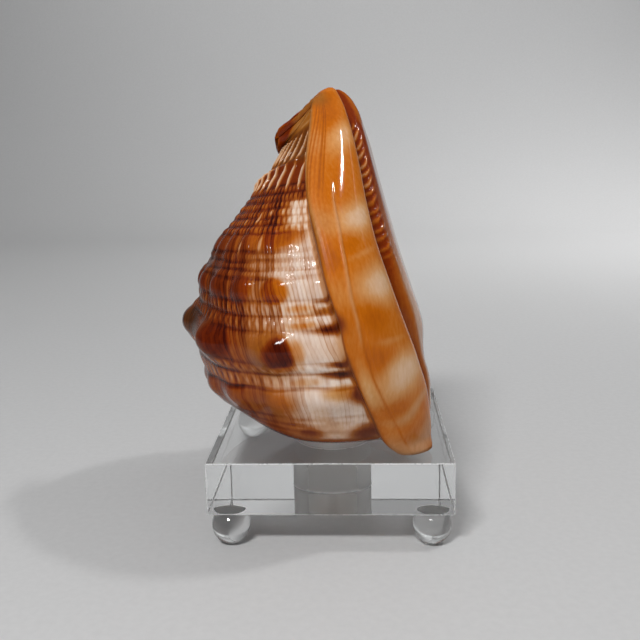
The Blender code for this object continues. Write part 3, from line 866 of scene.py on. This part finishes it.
# Markings on the lip and the shield: place round the mouth, station, half widths,
# strength, pigment, warmth, olive.
GLAZE_MARKS = [
    # cream patches from the ridge to the rim
    (3.3, 136.5, 1.2, 4.2, 0.85, 0.16, 0.7), (3.3, 111.2, 1.3, 5.4, 0.92, 0.1, 0.55, 0.1),
    (3.3, 89.5, 1.3, 5.5, 0.92, 0.1, 0.55, 0.1), (3.2, 61, 1.6, 6.5, 0.97, 0.1, 0.6, 0.1),
    (2.4, 42.6, 2.4, 3, 0.85, 0.3, 0.35, 0.1),
    # paler lengths of the strip beside the whorl
    (1.5, 111.5, 0.4, 4, 0.6, 0.36, 0.85, 0.3), (1.4, 61, 0.3, 6, 0.8, 0.16, 0.8, 0.2),
    (1.5, 137, 0.5, 4, 0.6, 0.32, 0.7), (1.35, 88, 0.3, 4, 0.5, 0.34, 0.9, 0.1),
    (1.5, 44, 0.5, 4, 0.6, 0.3, 0.7),
    # thin light streaks that rise towards the rim, and deeper orange between them
    (3, 99.5, 0.9, 1, 0.55, 0.3, 0.8), (3, 72, 0.9, 1.1, 0.55, 0.3, 0.8),
    (2.3, 104, 0.5, 3, 0.7, 0.56, 1), (2.3, 80, 0.7, 5, 0.8, 0.58, 1),
    (2.4, 68, 0.7, 2.5, 0.7, 0.56, 1), (2.4, 123, 0.6, 6, 0.6, 0.54, 1),
    (2.1, 54, 0.7, 2.4, 0.7, 0.56, 0.95), (2.4, 46.3, 0.7, 1.2, 0.6, 0.5, 0.7),
    (2.6, 144, 0.9, 4, 0.7, 0.6, 1), (2.5, 150, 1.2, 3, 0.7, 0.62, 0.9, 0.1),
    (1.4, 100.5, 0.5, 5, 0.8, 0.6, 1), (1.9, 68, 0.5, 4, 0.8, 0.58, 1),
    # the ends of the dark dashes reach under the lip
    # painted shade deepens the crease under the lip where the dark dashes end
    (0.8, 80, 0.35, 3.5, 0.8, 0.85, 0.6, 0.2),
    # a pale band that rises to the rim low down
    (3.1, 50.2, 1.6, 1.2, 0.75, 0.24, 0.6, 0.1)]


def glaze_pattern_and_light(place, w, lines, on_whorl):
    teeth, folds, ridge, groove, growth = lines
    across = place + 0.12 * wander(place * 2, w / 6, 0.4)
    up = w - 1.6 * (place - 3) * bell(place, 3, 2) + 1.2 * wander(place * 1.5, w / 8, 1.9)
    fields = [0.47 + 0 * w, 1 + 0 * w, 0 * w]
    paint = painter(fields)
    # the rolled edge beside the whorl is ochre
    paint(0.8 * fade(1, 1.35, across) * blend(85, 105, w), 0.4, 0.8, 0.6)
    # inside the slot the glaze is dark red-brown
    inside = blend(5.6, 7.2, across) * fade(14.2, 15.2, across)
    paint(inside, 0.8, 0.85)
    # the shield is brown where it rises from the slot, and pinkish lower down
    low = fade(80, 130, w)
    paint(blend(13.3, 14.6, across + 0.8 * low), 0.68 - 0.36 * low, 0.6 - 0.35 * low)
    paint(blend(14.9, 16.2, across), 0.27 + 0.1 * wander(place * 1.2, w / 14, 0.9), 0.6)
    paint(0.8 * blend(13.3, 14.2, across) * blend(140, 145, w), 0.52, 0.9, 0.1)
    paint_patches(paint, GLAZE_MARKS, across, up, 1.3)
    paint(0.9 * np.clip(teeth * 1.3, 0, 1), 0.06, 0.5)
    paint((0.4 + 0.4 * blend(114, 124, w)) * np.clip(folds * 1.4, 0, 1), 0.2, 0.45)
    paint(0.6 * ridge * blend(66, 78, w), 0.3, 0.5)
    paint((0.85 - 0.65 * blend(66, 78, w)) * groove, 0.64, 1)
    paint((0.12 + 0.58 * blend(105, 125, w)) * growth, 0.66, 0.9, 0.2)
    # a painted highlight lies as a pale line along the rim's outer corner, and the tip of the
    # canal is red-orange
    paint(0.5 * bell(place, 5, 0.25), 0.24, 0.5)
    paint(0.9 * fade(2, 3.2, place) * blend(147, 151, w), 0.5, 0.75, 0.6)
    fold = w + 1.2 * wander(place * 2, w / 5, 0.8)
    paint(0.9 * blend(161.5, 163, fold), 0.84, 1)
    paint(0.9 * blend(166, 167.5, fold), 0.66, 1)
    # low down the columns lie on the spire, which is streaked brown
    on_spire = np.maximum(fade(36, 38, w), blend(6, 6.8, place) * fade(43, 47, w))
    streaks = 0.55 + 0.25 * wander(place * 3, w, 2.2)
    paint(on_spire, streaks, 0.6, 0.25)
    # the whorl's own pattern runs in under the lip, and painted shade darkens the crease there
    for field, whorl_field in zip(fields, on_whorl):
        field += (whorl_field[:, -1:] - field) * fade(0.45, 0.75, place)
        field += (whorl_field[:, :1] - field) * blend(17.5, 18, place)
    low_down = fade(64, 74, w)
    high_up = between(w, 96, 122, 4)
    crease_shade = bell(place, 0.62 + 0.1 * low_down + 0.05 * high_up,
                  0.18 + 0.12 * low_down + 0.04 * high_up)
    crease_shade = crease_shade * blend(40, 44, w) * fade(146, 150, w)
    paint((0.7 + 0.2 * low_down + 0.25 * high_up) * crease_shade, 0.76, 0.6, 0.4)
    return [np.clip(field, 0, 1) for field in fields]


GLAZE_PATTERN_AND_LIGHT = glaze_pattern_and_light(PLACE, MW, MOUTH_LINES, WHORL_PATTERN_AND_SHADE)
EDGE_FADE = np.minimum(np.arange(BODY_COLUMNS), np.arange(BODY_COLUMNS)[::-1]) / 12
ALL_RELIEF = np.hstack([RELIEF * np.clip(EDGE_FADE, 0, 1), MOUTH_HIGH])
# The spire's turns meet in a stepped spiral line, each turn 1.57 times the one inside it.
flat = np.hypot(SURFACE[:, :, 0], SURFACE[:, :, 1]) + 1e-3
swing = np.degrees(np.arctan2(SURFACE[:, :, 1], SURFACE[:, :, 0])) / 360
step = (np.log(flat) / log(1.57) - swing) % 1
on_cone = fade(36, 39, np.hstack([W, MW]))
ALL_RELIEF -= on_cone * 0.45 * bell(step, 0.5, 0.12) * np.clip(flat / 6, 0, 1)
NORMALS = surface_normals(SURFACE)
RAISED = SURFACE + NORMALS * ALL_RELIEF[:, :, None]
NORMALS = surface_normals(RAISED)


def with_first(grid):
    """The columns from the lip's root round the mouth, and on to the shield's edge."""
    return np.concatenate([grid[:, BODY_COLUMNS - 1:], grid[:, :1]], axis=1)


# The canal's wall ends in a thick rounded rim, which turns from its outer side over to
# the inner side: rows that close the gap between the two.
RIM_TURN = [0.12, 0.3, 0.5, 0.7, 0.88, 1]
RIM_THICKEST = 2.6
outer, inner = RAISED[-1, :BODY_COLUMNS], with_first(RAISED)[-1][::-1]
where = np.linspace(0, 1, BODY_COLUMNS)
inner = np.stack([np.interp(where, np.linspace(0, 1, len(inner)), inner[:, k])
                  for k in range(3)], axis=1)
end_way = (RAISED[-1] - RAISED[-3]).mean(axis=0)
end_way /= np.linalg.norm(end_way)
thick = np.linalg.norm(outer - inner, axis=1)[:, None]
inward = (inner - outer) / (thick + 1e-9)
end_rows, end_normals = [], []
for turn in RIM_TURN:
    across, up = 0.5 - 0.5 * cos(pi * turn), sin(pi * turn)
    end_rows.append(outer + (inner - outer) * across
                    + end_way * 0.45 * np.minimum(thick, RIM_THICKEST) * up)
    end_normals.append(end_way * up - inward * cos(pi * turn))
end_normals[-1] = end_way + 0 * inward
whorl_piece = grid_piece("body_whorl", np.concatenate([RAISED[:, :BODY_COLUMNS], end_rows]),
                         np.concatenate([NORMALS[:, :BODY_COLUMNS], end_normals]))
lip_piece = grid_piece("lip_and_shield", with_first(RAISED), with_first(NORMALS))

# Beside the three fields of the pattern: how far the shell had grown, counted in ribs,
# where the ribs show, and where the glaze is satin: in the grooves and on the strip of
# the lip that is rolled back on the whorl.
ribs_grown = (ALONG - SHIELD_EDGE) / RIB_PITCH
shown = (0.6 * blend(46, 50, W) + 0.4 * blend(66, 72, W)) * fade(122, 127, W)
shown *= (1 - np.clip(PLAIN_KNOBS / 4, 0, 0.7)) * np.clip(EDGE_FADE * 3, 0, 1)
FIELDS = {
    "pigment_and_shade": (WHORL_PATTERN_AND_SHADE[0], GLAZE_PATTERN_AND_LIGHT[0]), "warmth": (WHORL_PATTERN_AND_SHADE[1], GLAZE_PATTERN_AND_LIGHT[1]),
    "olive": (WHORL_PATTERN_AND_SHADE[2], GLAZE_PATTERN_AND_LIGHT[2]), "growth": (ribs_grown, 130 + 0 * PLACE),
    "ribbed": (shown, 0 * PLACE), "satin": (0.6 * DEEP, between(PLACE, 0.5, 1.9, 0.4))}
AT_APEX = 0.4
for name, (on_whorl, on_glaze) in FIELDS.items():
    on_rim = np.tile(on_whorl[-1], (len(RIM_TURN), 1))
    for piece, field in ((whorl_piece, np.vstack([on_whorl, on_rim])),
                         (lip_piece, with_first(np.hstack([on_whorl, on_glaze])))):
        values = np.append(field.ravel(), AT_APEX).astype(np.float32)
        piece.data.attributes.new(name, "FLOAT", "POINT").data.foreach_set("value", values)


def glazed_lime():
    n = Nodes("glazed_lime")
    pigment_and_shade, warmth, olive, growth, ribbed, satin = [
        n.add("Attribute", attribute_name=name).outputs["Fac"] for name in FIELDS]
    fine = n.noise((900, 900, 260), 4)
    rib = n.math("ADD", growth, n.fit(n.noise(90, 2), 0.3, 0.7, -0.35, 0.35))

    def own_chance(number):
        return n.add("TexWhiteNoise", {"W": number}, noise_dimensions="1D")

    # each rib has its own tint, and so have bands of ribs; the lines between ribs are painted
    # shade in the dips, some darker than others
    own_tint = own_chance(n.math("FLOOR", rib))
    wide_tint = own_chance(n.math("FLOOR", n.math("MULTIPLY", rib, 0.37)))
    tint = n.math("ADD", n.fit(own_tint, 0, 1, -0.12, 0.1), n.fit(wide_tint, 0, 1, -0.09, 0.07))
    across = n.math("PINGPONG", rib, 0.5)
    dip_shade_strength = n.fit(own_chance(n.math("ROUND", rib)), 0.2, 1, 0.05, 0.25)
    line = n.math("MULTIPLY", n.fit(across, 0.03, 0.17, 1, 0), dip_shade_strength)
    shade = n.math("MULTIPLY", n.math("ADD", tint, line), ribbed)
    tone = n.math("ADD", pigment_and_shade, n.fit(fine, 0.3, 0.7, -0.035, 0.035))
    tone = n.math("ADD", tone, shade, clamp=True)
    plain = n.ramp(tone, [(0.86, 0.72, 0.64), (0.56, 0.35, 0.25), (0.25, 0.08, 0.024),
                          (0.11, 0.018, 0.003), (0.025, 0.002, 0.0005)])
    orange = n.ramp(tone, [(0.84, 0.57, 0.33), (0.72, 0.31, 0.07), (0.55, 0.135, 0.002),
                           (0.25, 0.03, 0.001), (0.05, 0.003, 0.0005)])
    green = n.ramp(tone, [(0.62, 0.46, 0.22), (0.23, 0.1, 0.015), (0.05, 0.018, 0.003)])
    colour = n.mix(olive, n.mix(warmth, plain, orange), green)
    polish = n.math("ADD", n.fit(fine, 0.3, 0.7, 0.05, 0.1), n.fit(satin, 0, 1, 0, 0.35))
    polish = n.math("ADD", polish, n.fit(ribbed, 0, 1, 0, 0.06))
    ribs = n.math("MULTIPLY", n.fit(across, 0, 0.25), ribbed)
    n.shader.inputs["Specular IOR Level"].default_value = 0.18
    return n.finish(colour, polish, ribs, 0.35, 0.0001)


LIME = glazed_lime()
for piece in (whorl_piece, lip_piece):
    piece.data.materials.append(LIME)
    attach(piece, "root")
    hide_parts("shell")

# ---- the table ----
# A wide sheet of matt pale grey paper. It lies flat in front and under the block, and
# sweeps up behind without a corner.
FLOOR_HALF, FLOOR_FRONT, FLOOR_BACK, BEND = 3, -2, 0.9, 0.5
BEND_STEPS = 24


def sweep():
    mesh = bmesh.new()
    profile = [(FLOOR_FRONT, 0)]
    for i in range(BEND_STEPS + 1):
        a = pi / 2 * i / BEND_STEPS
        profile.append((FLOOR_BACK + BEND * sin(a), BEND - BEND * cos(a)))
    profile.append((FLOOR_BACK + BEND, 3))
    rows = [[mesh.verts.new((x, y, z)) for x in (-FLOOR_HALF, FLOOR_HALF)] for y, z in profile]
    for low, high in zip(rows, rows[1:]):
        mesh.faces.new((low[0], low[1], high[1], high[0])).smooth = True
    return standing(mesh, "sweep", (0, 0, 0))


def matt_paper():
    n = Nodes("matt_paper")
    fibres = n.fit(n.noise(350, 5), 0.3, 0.7)
    colour = n.mix(fibres, (0.62, 0.62, 0.62, 1), (0.65, 0.65, 0.65, 1))
    n.feed(n.shader.inputs["Base Color"], colour)
    n.shader.inputs["Roughness"].default_value = 0.8
    return n.material


backdrop = sweep()
backdrop.data.materials.append(matt_paper())

# ---- the lights ----
# A soft box above and in front, a small bright one like a window on the right, and a wide
# weak one overhead. Two more light only the sheet, at the right and behind the shell.
MIDDLE = AXIS + Vector((0, 0, 0.09))


def soft_box(name, bearing, height, far, size, power, spread=180, facing=None):
    """A lit rectangle, turned to the shell unless it faces another way: bearing 0 is in
    front and 90 on the right, and height is the angle above level, both in degrees."""
    a, e = radians(bearing), radians(height)
    place = Vector((sin(a) * cos(e), -cos(a) * cos(e), sin(e))) * far
    data = bpy.data.lights.new(name, "AREA")
    data.shape = "RECTANGLE"
    data.size, data.size_y = size
    data.energy = power
    data.spread = radians(spread)
    lamp = placed(data, MIDDLE + place)
    lamp.rotation_euler = Vector(facing or -place).to_track_quat("-Z", "Y").to_euler()


soft_box("window", 87, 54, 1, (0.08, 0.03), 2)
soft_box("front_box", -18, 44, 1, (0.26, 0.12), 6.5)
soft_box("ceiling", 60, 84, 1.8, (3, 3), 5)
soft_box("wash", 120, 27, 1.4, (0.8, 0.5), 2, spread=64, facing=(-0.9, 0.25, -0.85))
soft_box("sheet_light", 180, 50, 1.17, (1.2, 0.2), 1.1, spread=100, facing=(0, 0.65, -0.38))

world = bpy.data.worlds.new("room")
world.use_nodes = True
room = world.node_tree.nodes["Background"]
room.inputs["Color"].default_value = (0.95, 0.97, 1, 1)
room.inputs["Strength"].default_value = 0.14
SCENE.world = world
SCENE.view_settings.view_transform = "Standard"

# ---- the camera ----
# It stands a third of a metre in front at the height of the shell's upper end, and looks
# a little down. It is turned slightly to the left and leans a little.
CAMERA_PLACE = (11, -323.8, 148.6)
DOWN, LEFT, LEAN = 12.52, 2.74, -1.13

lens = bpy.data.cameras.new("camera")
lens.lens = 46.8
lens.clip_start = 0.01
camera = placed(lens, AXIS + Vector(CAMERA_PLACE) * MM)
camera.matrix_world = Matrix.Translation(camera.location)
for turn, about in ((LEFT, "Z"), (90 - DOWN, "X"), (LEAN, "Z")):
    camera.matrix_world @= Matrix.Rotation(radians(turn), 4, about)
SCENE.camera = camera
